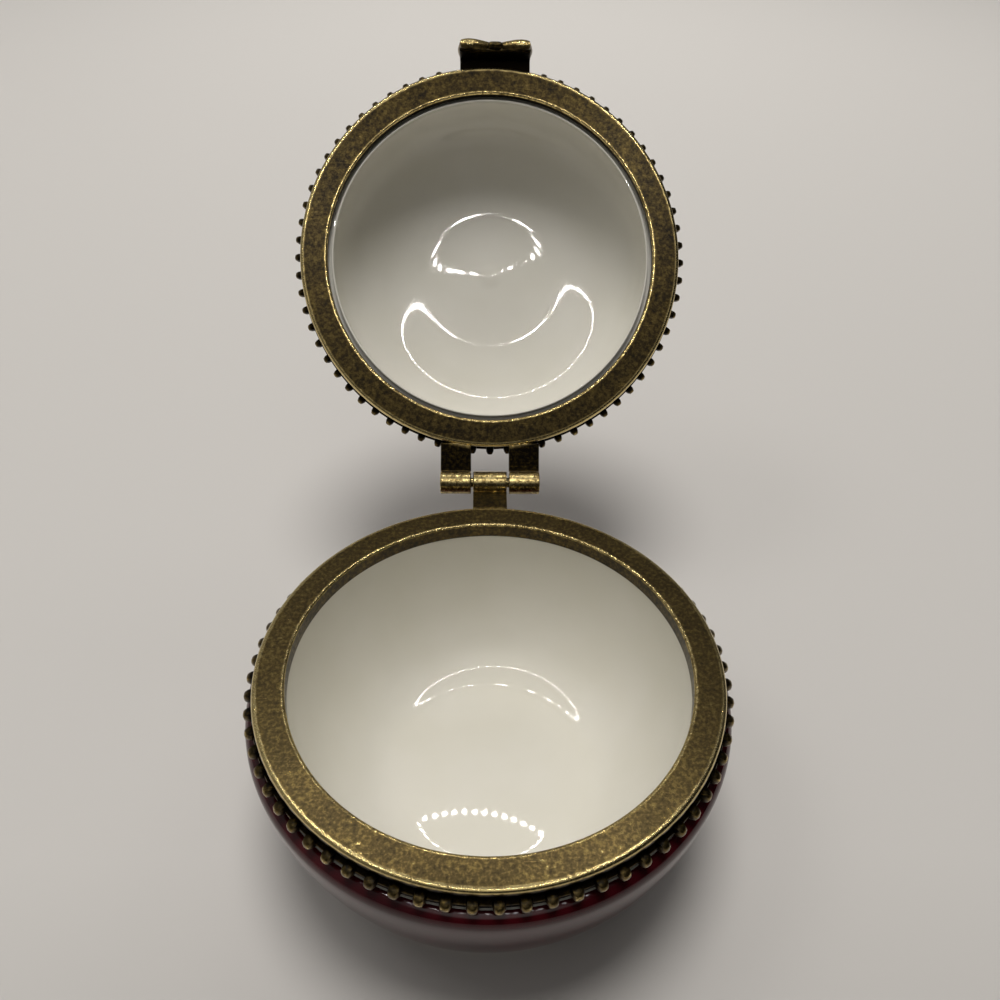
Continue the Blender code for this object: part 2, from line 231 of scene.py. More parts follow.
def rounded(corners, closed):
    """Points through (radius, height, rounding) corners, with an arc of points at each."""
    points = []
    count = len(corners)
    for index, (radius, height, rounding) in enumerate(corners):
        at_end = not closed and index in (0, count - 1)
        if at_end or rounding == 0:
            points.append((radius, height))
            continue
        here = Vector((radius, height))
        to_last = Vector(corners[index - 1][:2]) - here
        to_next = Vector(corners[(index + 1) % count][:2]) - here
        half = to_last.angle(to_next) / 2
        reach = rounding / max(1e-6, abs(sin(half) / cos(half)))
        start = here + to_last.normalized() * reach
        end = here + to_next.normalized() * reach
        inward = (to_last.normalized() + to_next.normalized()).normalized()
        centre = here + inward * rounding / sin(half)
        first, last = start - centre, end - centre
        sweep = first.angle_signed(last)
        for step in range(ARC_STEPS + 1):
            turn = Matrix.Rotation(-sweep * step / ARC_STEPS, 2)
            points.append(tuple(centre + turn @ first))
    if closed:
        points.append(points[0])
    return points


def curve_to(start, end, steps, first_vertical, power=2.0):
    """A quarter of an oval from start to end, which leaves start upright or level. Start is left out."""
    (r0, z0), (r1, z1) = start, end
    points = []
    for step in range(1, steps + 1):
        angle = pi / 2 * step / steps
        slow, fast = 1 - abs(cos(angle)) ** (2 / power), sin(angle) ** (2 / power)
        along_r, along_z = (slow, fast) if first_vertical else (fast, slow)
        points.append((r0 + (r1 - r0) * along_r, z0 + (z1 - z0) * along_z))
    return points


def wave_to(start, end, steps):
    """A half wave from start to end, level at both. Start is left out."""
    (r0, z0), (r1, z1) = start, end
    points = []
    for step in range(1, steps + 1):
        along = step / steps
        points.append((r0 + (r1 - r0) * along, z0 + (z1 - z0) * (1 - cos(pi * along)) / 2))
    return points


def upside_down(line):
    """The same line for the lid, mirrored in the plane between the two rims."""
    return [(radius, FACE_GAP - height) for radius, height in reversed(line)]


# %% The lathe
MERGE_DISTANCE = 0.002 * MM


def on_lathe(name, line, steps):
    """Draw a line of (radius, height) points by extruding one point, and spin it about Z."""
    deselect_all()
    bpy.ops.mesh.primitive_plane_add(size=1 * MM)
    piece = new_piece(name)
    edit_all(piece)
    bpy.ops.mesh.merge(type="CENTER")
    bpy.ops.transform.translate(value=(line[0][0], 0, line[0][1]))
    for (r0, z0), (r1, z1) in zip(line, line[1:]):
        bpy.ops.mesh.extrude_vertices_move(TRANSFORM_OT_translate={"value": (r1 - r0, 0, z1 - z0)})
    bpy.ops.mesh.select_all(action="SELECT")
    bpy.ops.mesh.spin(steps=steps, angle=2 * pi, center=(0, 0, 0), axis=(0, 0, 1))
    bpy.ops.mesh.select_all(action="SELECT")
    bpy.ops.mesh.remove_doubles(threshold=MERGE_DISTANCE)
    bpy.ops.mesh.normals_make_consistent(inside=False)
    bpy.ops.object.mode_set(mode="OBJECT")
    print(f"{name}: {len(line)} points spun in {steps} steps")
    return piece


# %% [markdown]
# ## Materials
#
# A hex colour is what a screen shows, and the shader wants linear light, so one function turns one
# into the other. Another adds a node, sets it and links it in one line. A pattern's scale is worked
# out from the size that its blotches or lines have on the real piece.

# %% Colour and node helpers
MATH = "ShaderNodeMath"
NOISE = "ShaderNodeTexNoise"
ATTRIBUTE = "ShaderNodeAttribute"
COLOUR_RAMP = "ShaderNodeValToRGB"


def colour(hex_code):
    """An sRGB hex colour as linear red, green, blue and alpha."""
    channels = [int(hex_code[i : i + 2], 16) / 255 for i in (1, 3, 5)]
    linear = [c / 12.92 if c <= 0.04045 else ((c + 0.055) / 1.055) ** 2.4 for c in channels]
    return (*linear, 1.0)


def scale_for(feature_mm):
    """The scale that makes a pattern's features about feature_mm across."""
    return 1 / (feature_mm * MM)


def set_inputs(tree, target, inputs):
    """Set or link inputs. Each is a value, a socket, or a node whose first output is meant."""
    for name, value in inputs.items():
        if isinstance(value, bpy.types.Node):
            value = value.outputs[0]
        if isinstance(value, bpy.types.NodeSocket):
            tree.links.new(value, target.inputs[name])
        else:
            target.inputs[name].default_value = value


def node(tree, kind, inputs=None, stops=(), **settings):
    """Add a node with its settings and links. Stops are a ramp's (position, hex colour) pairs."""
    made = tree.nodes.new(kind)
    for name, value in settings.items():
        setattr(made, name, value)
    set_inputs(tree, made, inputs or {})
    if stops:
        elements = made.color_ramp.elements
        while len(elements) < len(stops):
            elements.new(0.5)
        for element, (position, hex_code) in zip(elements, stops):
            element.position = position
            element.color = colour(hex_code)
    return made


def new_material(name):
    """A new material, its node tree and its shader."""
    material = bpy.data.materials.new(name)
    material.use_nodes = True
    tree = material.node_tree
    return material, tree, tree.nodes["Principled BSDF"]


# %% [markdown]
# ### Antique brass
#
# The rims are cast brass, darkened by a dip and then rubbed, so the metal is almost black in its
# hollows and gold where fingers and the other rim have polished it. It could be two materials, one
# dark and one gold, with a painted border. One material is simpler and truer: the stored wear picks
# a colour from dark to gold, and noise breaks it up. That stored value also holds painted shade,
# which darkens some pieces, and painted highlights on some edges. The blotches are about 0.5 mm
# across and the casting's grain 0.1 mm. The scratches are thin bands of a stretched noise. A thin
# clear lacquer on the rubbed parts, the shader's coat, gives the grey haze of a bright ceiling.

# %% Scratches
NOISE_MIDDLE = 0.5  # noise runs from 0 to 1 about this
SCRATCH_PATCH_MM = 5.0
SCRATCH_BAND = 0.006  # how near the middle of the noise a point must be to lie on a line
ALONG_DEPTH = 0.02  # lines hardly change from the top of a piece to its bottom


def scratches(tree, place, turn_deg, spacing_mm, length_ratio, bare_share):
    """Thin straight lines in patches: 1 on a line and 0 off it. More bare share means fewer patches."""
    turn = (0, 0, radians(turn_deg))
    stretch = (1 / length_ratio, 1, ALONG_DEPTH)
    turned = node(tree, "ShaderNodeMapping", {"Vector": place, "Rotation": turn, "Scale": stretch})
    lines = node(tree, NOISE, {"Vector": turned, "Scale": scale_for(spacing_mm), "Detail": 0.0})
    thin = node(tree, MATH, {0: lines, 1: NOISE_MIDDLE, 2: SCRATCH_BAND}, operation="COMPARE")
    patches = node(tree, NOISE, {"Vector": place, "Scale": scale_for(SCRATCH_PATCH_MM), "Detail": 3.0})
    shown = node(tree, MATH, {0: patches, 1: bare_share}, operation="GREATER_THAN")
    return node(tree, MATH, {0: thin, 1: shown}, operation="MULTIPLY")


# %% Antique brass
BLOTCH_MM = 0.45
CLOUD_MM = 3.2
GRAIN_MM = 0.1
BLOTCH_WEIGHT = 1.55
CLOUD_WEIGHT = 0.3
SCRATCH_WEIGHT = 0.2
POLISH = 0.25  # how much smoother worn brass is than dark brass
GRAIN_ROUGHNESS = 0.15
BLOTCH_RELIEF, GRAIN_RELIEF, SCRATCH_RELIEF = 0.6, 0.5, 0.5  # their shares of the relief
LACQUER_WEIGHT = 0.8
LACQUER_ROUGHNESS = 0.33
BRASS_RELIEF = {"Strength": 0.18, "Distance": 0.05 * MM}


def brass(name, stops, base_roughness):
    """Brass whose colour runs through the stops from its hollows to its worn edges. The stored value it
    reads also holds painted shade and highlights.
    """
    material, tree, shader = new_material(name)
    place = node(tree, ATTRIBUTE, attribute_name="shut_place").outputs["Vector"]
    wear_and_painted_light = node(tree, ATTRIBUTE, attribute_name="wear_and_painted_light").outputs["Fac"]
    blotch_inputs = {"Vector": place, "Scale": scale_for(BLOTCH_MM), "Detail": 5.0, "Roughness": 0.65}
    blotch = node(tree, NOISE, blotch_inputs)
    cloud = node(tree, NOISE, {"Vector": place, "Scale": scale_for(CLOUD_MM), "Detail": 2.0})
    grain = node(tree, NOISE, {"Vector": place, "Scale": scale_for(GRAIN_MM), "Detail": 2.0})
    one_way = scratches(tree, place, turn_deg=38, spacing_mm=0.5, length_ratio=40, bare_share=0.56)
    other_way = scratches(tree, place, turn_deg=-21, spacing_mm=0.6, length_ratio=50, bare_share=0.58)
    scored = node(tree, MATH, {0: one_way, 1: other_way}, operation="ADD")

    uneven = wear_and_painted_light
    for pattern, weight in ((blotch, BLOTCH_WEIGHT), (cloud, CLOUD_WEIGHT)):
        swing = node(tree, MATH, {0: pattern, 1: NOISE_MIDDLE}, operation="SUBTRACT")
        uneven = node(tree, MATH, {0: swing, 1: weight, 2: uneven}, operation="MULTIPLY_ADD")
    scored_inputs = {0: scored, 1: SCRATCH_WEIGHT, 2: uneven}
    uneven = node(tree, MATH, scored_inputs, operation="MULTIPLY_ADD", use_clamp=True)
    tone = node(tree, COLOUR_RAMP, {"Fac": uneven}, stops=stops)

    rough = node(tree, MATH, {0: uneven, 1: -POLISH, 2: base_roughness}, operation="MULTIPLY_ADD")
    grain_swing = node(tree, MATH, {0: grain, 1: NOISE_MIDDLE}, operation="SUBTRACT")
    grain_inputs = {0: grain_swing, 1: GRAIN_ROUGHNESS, 2: rough}
    rough = node(tree, MATH, grain_inputs, operation="MULTIPLY_ADD", use_clamp=True)

    fine = node(tree, MATH, {0: grain, 1: GRAIN_RELIEF}, operation="MULTIPLY")
    raised = node(tree, MATH, {0: blotch, 1: BLOTCH_RELIEF, 2: fine}, operation="MULTIPLY_ADD")
    cuts = node(tree, MATH, {0: scored, 1: SCRATCH_RELIEF}, operation="MULTIPLY")
    relief = node(tree, MATH, {0: raised, 1: cuts}, operation="SUBTRACT")
    bump = node(tree, "ShaderNodeBump", {"Height": relief, **BRASS_RELIEF})
    lacquer = node(tree, MATH, {0: wear_and_painted_light, 1: LACQUER_WEIGHT}, operation="MULTIPLY", use_clamp=True)

    set_inputs(tree, shader, {"Base Color": tone, "Metallic": 1.0, "Roughness": rough, "Normal": bump})
    set_inputs(tree, shader, {"Coat Weight": lacquer, "Coat Roughness": LACQUER_ROUGHNESS})
    return material


PATINA = "#0d0905"
OLIVE_BROWN = "#2f250c"
RUBBED_BRASS = "#5c4c24"
SOFT_GOLD = "#8c763f"
WORN_GOLD = "#e0c987"
cast_tones = [(0.0, PATINA), (0.25, OLIVE_BROWN), (0.6, RUBBED_BRASS), (0.85, SOFT_GOLD), (1.0, WORN_GOLD)]
drawn_tones = [(0.0, OLIVE_BROWN), (0.5, RUBBED_BRASS), (1.0, WORN_GOLD)]
antique_brass = brass("cast brass, darkened and rubbed", cast_tones, base_roughness=0.5)
drawn_brass = brass("drawn brass wire", drawn_tones, base_roughness=0.38)
print("brass:", antique_brass.name, "and", drawn_brass.name)

# %% [markdown]
# ### Porcelain
#
# Porcelain is a dense white clay under a glass glaze. The clay scatters light and the glaze gives a
# hard clear shine, so the shader is given the glaze's colour, its IOR and a very low roughness. A
# glaze is never quite flat: it lies in soft waves a few millimetres long, and that is what makes a
# reflected lamp look wobbly. White ware has a rare iron speck, 0.1 to 0.2 mm across on the real box
# and drawn 0.3 mm across so that it shows. The waves and the specks could be modelled, but they are
# far too fine for the mesh, so nodes draw them.

# %% Glazes
GLAZE_IOR = 1.52
POOL_MM = 9.0
WAVE_MM = 4.0
WAVE_RELIEF = {"Strength": 0.1, "Distance": 0.02 * MM}
SPECK_SPACING_MM = 7.0
SPECK_RADIUS_MM = 0.14
IRON_SPECK = "#3a2f26"


def specks(tree, place, share):
    """Rare round specks: 1 inside a speck and 0 elsewhere. Share is the part of the cells with one."""
    cells = node(tree, "ShaderNodeTexVoronoi", {"Vector": place, "Scale": scale_for(SPECK_SPACING_MM)})
    radius = SPECK_RADIUS_MM / SPECK_SPACING_MM
    near = node(tree, MATH, {0: cells.outputs["Distance"], 1: radius}, operation="LESS_THAN")
    chance = node(tree, "ShaderNodeSeparateColor", {"Color": cells.outputs["Color"]})
    chosen = node(tree, MATH, {0: chance, 1: share}, operation="LESS_THAN")
    return node(tree, MATH, {0: near, 1: chosen}, operation="MULTIPLY")


def glaze(name, clear, deep, roughness, speck_share=0.0):
    """A gloss glaze over porcelain. Its colour varies a little between two hex codes."""
    material, tree, shader = new_material(name)
    place = node(tree, ATTRIBUTE, attribute_name="shut_place").outputs["Vector"]
    pool = node(tree, NOISE, {"Vector": place, "Scale": scale_for(POOL_MM), "Detail": 2.0})
    body = node(tree, COLOUR_RAMP, {"Fac": pool}, stops=[(0.3, clear), (0.7, deep)]).outputs["Color"]
    if speck_share:  # a Mix node has its two colours at 6 and 7, and gives its colour at 2
        inputs = {"Factor": specks(tree, place, speck_share), 6: body, 7: colour(IRON_SPECK)}
        body = node(tree, "ShaderNodeMix", inputs, data_type="RGBA").outputs[2]
    waves = node(tree, NOISE, {"Vector": place, "Scale": scale_for(WAVE_MM), "Detail": 1.0})
    bump = node(tree, "ShaderNodeBump", {"Height": waves, **WAVE_RELIEF})
    set_inputs(tree, shader, {"Base Color": body, "Roughness": roughness, "IOR": GLAZE_IOR, "Normal": bump})
    return material


white_glaze = glaze("clear glaze on white porcelain", "#eeebe1", "#eae7db", 0.035, speck_share=0.03)
crimson_glaze = glaze("crimson glaze on porcelain", "#4a0c14", "#380810", 0.05)
leaf_glaze = glaze("green glaze on porcelain", "#2f5a26", "#3f7030", 0.07)
stem_glaze = glaze("brown glaze on porcelain", "#4a2c18", "#5b3a20", 0.1)
print("glazes:", white_glaze.name, crimson_glaze.name, leaf_glaze.name, stem_glaze.name)

# %% [markdown]
# The foot is wiped bare of glaze before firing, or it would stick to the kiln's shelf. Bare porcelain
# is matt, a little warmer than the glazed white, and feels like chalk. Its real tooth is too fine to
# show, so it is drawn about 0.1 mm across.

# %% Bare porcelain
CLAY_TONE_MM = 2.0
CLAY_TOOTH_MM = 0.1


def bare_porcelain():
    """Unglazed fired clay: matt, with a fine tooth."""
    material, tree, shader = new_material("unglazed porcelain")
    place = node(tree, ATTRIBUTE, attribute_name="shut_place").outputs["Vector"]
    tone = node(tree, NOISE, {"Vector": place, "Scale": scale_for(CLAY_TONE_MM), "Detail": 3.0})
    body = node(tree, COLOUR_RAMP, {"Fac": tone}, stops=[(0.3, "#cfc5b0"), (0.7, "#ddd5c3")])
    tooth = node(tree, NOISE, {"Vector": place, "Scale": scale_for(CLAY_TOOTH_MM), "Detail": 3.0})
    bump = node(tree, "ShaderNodeBump", {"Height": tooth, "Strength": 0.4, "Distance": 0.02 * MM})
    set_inputs(tree, shader, {"Base Color": body, "Roughness": 0.75, "Normal": bump})
    return material


bare_clay = bare_porcelain()
print("foot:", bare_clay.name)

# %% [markdown]
# ## The bowl
#
# A cast porcelain bowl with a belly a little wider than its rim, and a flat foot. The lip is narrow,
# because the brass rim fits over it. Under the foot is a shallow recess, so that the bowl stands on a
# ring, as thrown and cast ware does. The bowl could be a thin surface with a thickness added, but its
# wall is thick at the foot and thin at the lip, so both sides are drawn.

# %% The bowl's line
BELLY_RADIUS = 26.25 * MM
BELLY_DEPTH = 4.75 * MM
BELLY_FALL = 34.6 * MM
BELLY_EXPONENT = 1.6
FLOOR_DEPTH = 20.3 * MM
FLOOR_RADIUS = 11.7 * MM
FLOOR_RISE = 0.35 * MM
FLOOR_STEPS = 12
WALL_STEPS = 26
SHOULDER_STEPS = 8
BELLY_STEPS = 24
FOOT_STEPS = 6
MOUTH = (22.0 * MM, -2.45 * MM)
BELLY_LOW = 1.2 * MM - rim_height  # where the outside starts to round into the foot
FOOT_RADIUS = 19.8 * MM


def belly_radius(height):
    """Radius of the outside below the belly's widest ring."""
    fall = -(height + BELLY_DEPTH) / BELLY_FALL
    return BELLY_RADIUS * (1 - fall**BELLY_EXPONENT) ** (1 / BELLY_EXPONENT)


def bowl_line():
    """From the middle of the floor up the inside, over the lip and down to the middle of the foot."""
    shares = [step / FLOOR_STEPS for step in range(FLOOR_STEPS + 1)]
    line = [(FLOOR_RADIUS * share, FLOOR_RISE * (1 - share**2) - FLOOR_DEPTH) for share in shares]
    line += curve_to(line[-1], MOUTH, WALL_STEPS, first_vertical=False)
    lip = [
        (22.0, -2.3, 0.1),
        (22.6, -2.3, 0),
        (22.6, -1.3, 0.25),
        (23.9, -1.3, 0.25),
        (23.9, -3.3, 0),
        (25.0, -3.3, 0),
    ]
    line += rounded(in_mm(lip), closed=False)
    line += curve_to(line[-1], (BELLY_RADIUS, -BELLY_DEPTH), SHOULDER_STEPS, first_vertical=False)
    for step in range(1, BELLY_STEPS + 1):
        height = -BELLY_DEPTH + (BELLY_LOW + BELLY_DEPTH) * step / BELLY_STEPS
        line.append((belly_radius(height), height))
    line += curve_to(line[-1], (FOOT_RADIUS, -rim_height), FOOT_STEPS, first_vertical=True)
    foot_mm = [(19.0, 0, 0), (17.4, 0, 0.15), (16.9, 0.5, 0.3), (0, 0.5, 0)]
    foot = [(radius, height - rim_height, rounding) for radius, height, rounding in in_mm(foot_mm)]
    line += rounded(foot, closed=False)
    return line


print(f"bowl {2 * BELLY_RADIUS / MM:.1f} mm wide, {FLOOR_DEPTH / MM:.1f} mm deep inside")

# %% Bowl
PORCELAIN_STEPS = 160
CREASE = 50
WHITE_FACE = 1
BARE_FACE = 2
LIP_RADIUS, LIP_LOW = 24.5 * MM, -3.4 * MM  # white glaze runs over the lip as far as this
FLOOR_REACH, FLOOR_LOW = 15 * MM, -21 * MM  # the floor inside lies within this radius and over this level
RING_INSIDE, RING_HEIGHT = 16.5 * MM, 0.6 * MM  # the bare ring lies outside this radius and this low


def radius_and_outward(face):
    """A face's distance from the Z axis, and a number over 0 if it looks away from the axis."""
    centre, normal = face.center, face.normal
    return hypot(centre.x, centre.y), normal.x * centre.x + normal.y * centre.y


bowl = on_lathe("glazed_bowl", bowl_line(), PORCELAIN_STEPS)
cover(bowl, crimson_glaze, white_glaze, bare_clay)
for face in bowl.data.polygons:
    radius, outward = radius_and_outward(face)
    height = face.center.z
    on_lip = radius < LIP_RADIUS and height > LIP_LOW
    if height > FLOOR_LOW and (outward < 0 or radius < FLOOR_REACH or on_lip):
        face.material_index = WHITE_FACE
    elif height < RING_HEIGHT - rim_height and radius > RING_INSIDE:
        face.material_index = BARE_FACE
smooth(bowl, CREASE)
remember(bowl)
settle(bowl, "base", "crimson_glaze", "bowl")

# %% [markdown]
# ## The rims
#
# Each rim is one casting: a flat ring that meets the other rim, and a skirt that grips the porcelain.
# The ring's edges are rounded, and those are the places that shine. Two extra points on the ring keep
# that shine at its edges, because wear is stored on points and runs evenly between them.

# %% Rim sections
RIM_STEPS = 272
COLLAR_DEPTH = 2.0 * MM  # the bowl's rim runs down inside the mouth, and the lid's doesn't


def rim_line(hole, collar_depth):
    """The closed section of the bowl's rim, drawn from corners in mm with their roundings."""
    hole_mm = hole / MM
    outside = [
        (hole_mm, 0, 0.28),  # inner edge
        (hole_mm + 0.45, 0, 0),
        (24.35, 0, 0),
        (25.0, 0, 0.42),  # outer edge
        (25.0, -0.78, 0.15),
        (24.72, -0.98, 0.12),
        (24.72, -1.78, 0.05),
        (25.22, -1.84, 0.13),  # raised wire
        (25.22, -2.12, 0.13),
        (24.72, -2.18, 0.05),
        (24.72, -2.62, 0.08),
        (24.95, -2.74, 0.1),  # foot of the skirt
        (24.95, -3.0, 0.1),
    ]
    inside = [(24.2, -3.0, 0), (24.2, -1.0, 0)]
    if collar_depth:
        inside += [(hole_mm + 0.7, -1.0, 0), (hole_mm + 0.7, -collar_depth / MM, 0.1)]
        inside.append((hole_mm, -collar_depth / MM, 0.2))
    else:
        inside.append((hole_mm, -1.0, 0.1))
    return rounded(in_mm(outside + inside), closed=True)


bowl_section = rim_line(BOWL_HOLE, COLLAR_DEPTH)
lid_section = upside_down(rim_line(LID_HOLE, 0))
print(f"rim sections of {len(bowl_section)} and {len(lid_section)} points")

# %% Wear of the rims
HOLLOW = -0.1  # the wear of brass that nothing touches
MOUTH_WEAR = 0.3
WIRE_WEAR = 0.35
BEAD_WEAR = 0.85
BEAD_CONTRAST = 1.6
OUTER_EDGE_WEAR, OUTER_SIDE_WEAR = 1.1, 0.5
INNER_EDGE_WEAR, INNER_SIDE_WEAR = 0.95, 0.15
RING_BOTTOM, SKIRT_TOP = 0.5 * MM, 1.0 * MM  # below the rim's face
MOUTH_WALL, MOUTH_TOP = 0.1 * MM, 0.25 * MM  # outward from the hole, and below the face
OUTER_EDGE, OUTER_EDGE_DEPTH = 24.5 * MM, 0.32 * MM
INNER_EDGE, INNER_EDGE_DEPTH = 0.3 * MM, 0.2 * MM  # the first is outward from the hole
WIRE_INSIDE, WIRE_OUTSIDE = 25.15 * MM, 25.23 * MM
BEAD_FOOT, BEAD_REACH = 25.1 * MM, 0.7 * MM


def rim_wear_and_shade(point, hole, flat, sign=1.0, face=0.0):
    """Wear of a rim, from its place: gold on the rounded edges, dark down in the skirt. The flat's level is
    given, and on the lid it holds painted shade.
    """
    radius = hypot(point.x, point.y)
    depth = sign * (face - point.z)
    if radius < hole + MOUTH_WALL and depth > MOUTH_TOP:
        return MOUTH_WEAR
    if depth > SKIRT_TOP:
        if WIRE_INSIDE < radius < WIRE_OUTSIDE:
            return WIRE_WEAR
        outward = (radius - BEAD_FOOT) / BEAD_REACH
        return HOLLOW + BEAD_WEAR * min(1.0, max(0.0, outward)) ** BEAD_CONTRAST
    if depth > RING_BOTTOM:
        return HOLLOW
    if radius > OUTER_EDGE:
        return OUTER_EDGE_WEAR if depth < OUTER_EDGE_DEPTH else OUTER_SIDE_WEAR
    if radius < hole + INNER_EDGE:
        return INNER_EDGE_WEAR if depth < INNER_EDGE_DEPTH else INNER_SIDE_WEAR
    return flat


# %% [markdown]
# ### The beads
#
# Round the skirt runs a thin raised wire with a bead at each 5.3 degrees. A bead is a cube swollen
# towards a ball and narrowed outward, which leaves the blunt four-sided knob that a worn mould casts.
# It is made once and copied round, each copy with its own mesh, and has only a few dozen faces.

# %% Beads
BEAD_COUNT = 68
BEAD_DEPTH = 1.9 * MM
BEAD_ROOT = 24.65 * MM
BEAD_ROUNDNESS = 0.6
BEAD_NARROWING = 0.28
BOWL_BEAD = (1.3 * MM, 1.05 * MM, 1.2 * MM)
LID_BEAD = (1.26 * MM, 0.88 * MM, 1.05 * MM)
BOWL_BEAD_TURN = radians(1.4)
BARE_HALF_WIDTH = 5.15 * MM


def bead_shape(size):
    """One bead on +X, of a (deep, wide, high) size. Its root is sunk in the skirt."""
    middle = BEAD_ROOT + size[0] / 2
    deselect_all()
    bpy.ops.mesh.primitive_cube_add(size=1, location=(middle, 0, -BEAD_DEPTH))
    bead = new_piece("bead")
    bead.scale = size
    apply_place(bead)
    edit_all(bead)
    bpy.ops.mesh.subdivide(number_cuts=2)
    bpy.ops.transform.tosphere(value=BEAD_ROUNDNESS, center_override=(middle, 0, -BEAD_DEPTH))
    bpy.ops.object.mode_set(mode="OBJECT")
    for vertex in bead.data.vertices:
        narrowing = 1 - BEAD_NARROWING * max(0.0, vertex.co.x - middle) / (size[0] / 2)
        vertex.co.y *= narrowing
        vertex.co.z = (vertex.co.z + BEAD_DEPTH) * narrowing - BEAD_DEPTH
    return bead


def bead_row(size, turn, bare_half_width, depth_sign, face):
    """Copies of a bead all round, apart from a bare stretch at the front where the clasp sits."""
    pattern = bead_shape(size)
    mirror = Matrix.Diagonal((1, 1, depth_sign, 1))
    row = []
    for index in range(BEAD_COUNT):
        angle = pi / 2 + turn + 2 * pi * index / BEAD_COUNT
        if sin(angle) < 0 and abs(RIM_RADIUS * cos(angle) - CLASP_X) < bare_half_width:
            continue
        bead = pattern.copy()
        bead.data = pattern.data.copy()
        bpy.context.collection.objects.link(bead)
        bead.matrix_world = Matrix.Translation((0, 0, face)) @ Matrix.Rotation(angle, 4, "Z") @ mirror
        row.append(bead)
    bpy.data.objects.remove(pattern, do_unlink=True)
    print(f"{len(row)} beads")
    return row


# %% [markdown]
# ## The hinge
#
# The bowl's rim has one tab and a middle knuckle, and the lid's rim two tabs and two outer knuckles.
# On the real box each tab is rolled into its knuckle, so the tab runs into the barrel's side. A tab
# is a cube and a knuckle a cylinder. They could just overlap the rim, but a Boolean joins them to it,
# so that the rim is one solid as the casting is. Each tab is cut across in two places, which gives its
# dark face points of its own beside the gold edge and barrel.

# %% Hinge parts
KNUCKLE_RADIUS = 1.5 * MM
MIDDLE_HALF = 2.2 * MM
KNUCKLE_GAP = 0.3 * MM
OUTER_KNUCKLE = 4.0 * MM
OUTER_SIDES = (MIDDLE_HALF + KNUCKLE_GAP, MIDDLE_HALF + KNUCKLE_GAP + OUTER_KNUCKLE)
BORE_RADIUS = 0.74 * MM
BORE_HALF = 9 * MM
TAB_DROP = 0.25 * MM
TAB_THICKNESS = 1.1 * MM
TAB_START = 24.5 * MM
TAB_CUTS = (25.4 * MM, hinge_y - KNUCKLE_RADIUS - 0.15 * MM)
TAB_ROUNDING = 0.12 * MM
KNUCKLE_ROUNDING = 0.16 * MM
print(f"knuckles {2 * KNUCKLE_RADIUS / MM:.1f} mm thick, {2 * OUTER_SIDES[1] / MM:.1f} mm over all three")


# %% Helpers for blocks, bars and hinge leaves
def rounded_cube(name, low, high, rounding, segments=3):
    """A block between two corners, with its edges rounded."""
    low, high = Vector(low), Vector(high)
    deselect_all()
    bpy.ops.mesh.primitive_cube_add(size=1, location=(low + high) / 2)
    piece = new_piece(name)
    piece.scale = high - low
    apply_place(piece)
    edit_all(piece)
    bpy.ops.mesh.bevel(offset=rounding, segments=segments, profile=0.5, affect="EDGES")
    bpy.ops.object.mode_set(mode="OBJECT")
    return piece


def barrel(name, radius, low_x, high_x, rounding):
    """A round bar on the hinge's axis with rounded ends."""
    deselect_all()
    place = ((low_x + high_x) / 2, hinge_y, FACE_GAP / 2)
    depth = high_x - low_x
    bpy.ops.mesh.primitive_cylinder_add(
        vertices=64, radius=radius, depth=depth, location=place, rotation=(0, pi / 2, 0)
    )
    piece = new_piece(name)
    apply_place(piece)
    if rounding:
        select_faces(piece, lambda centre, normal: abs(normal.x) > 0.9)
        bpy.ops.mesh.bevel(offset=rounding, segments=4, affect="EDGES")
        bpy.ops.object.mode_set(mode="OBJECT")
    return piece


def hinge_leaf(name, low_x, high_x, tab_low, tab_high):
    """One tab with its knuckle, between two sides and two heights."""
    low, high = (low_x, TAB_START, tab_low), (high_x, hinge_y, tab_high)
    tab = rounded_cube(f"{name}_tab", low, high, TAB_ROUNDING)
    for place in TAB_CUTS:
        edit_all(tab)
        bpy.ops.mesh.bisect(plane_co=(0, place, 0), plane_no=(0, 1, 0))
        bpy.ops.object.mode_set(mode="OBJECT")
    return [tab, barrel(f"{name}_knuckle", KNUCKLE_RADIUS, low_x, high_x, KNUCKLE_ROUNDING)]


# %% Wear of the hinge, with painted highlights
BARREL_WEAR = 0.95
TAB_EDGE_WEAR_AND_HIGHLIGHT = 0.4  # how much brighter a tab's side edges are: partly wear, partly a painted highlight
BARREL_INSIDE = 1.3 * MM  # nearer the axis lie the bore and the flat ends
BARREL_OUTSIDE = KNUCKLE_RADIUS + 0.02 * MM
TAB_ROOT, TAB_REACH = 25.3 * MM, 7 * MM
TAB_EDGE = (0.005 * MM, 0.1 * MM)  # how far from a tab's side the points of its rounding lie


def hinge_wear_and_painted_light(point, tab):
    """Wear of the hinge, or None off it: gold round the barrel, and tabs at the given level, which on the
    lid holds painted shade. A tab's side edges are brighter, partly worn and partly a painted highlight.
    """
    from_axis = hypot(point.y - hinge_y, point.z - FACE_GAP / 2)
    if from_axis < BARREL_INSIDE:
        return HOLLOW
    if from_axis < BARREL_OUTSIDE:
        return BARREL_WEAR
    if hypot(point.x, point.y) > TAB_ROOT and point.y > 0 and abs(point.x) < TAB_REACH:
        from_side = min(abs(abs(point.x) - side) for side in (MIDDLE_HALF, *OUTER_SIDES))
        return tab + TAB_EDGE_WEAR_AND_HIGHLIGHT if TAB_EDGE[0] < from_side < TAB_EDGE[1] else tab
    return None


# %% Bowl rim
RIM_CREASE = 45
BOWL_FLAT_WEAR = 0.61
BOWL_TAB_WEAR = 0.35

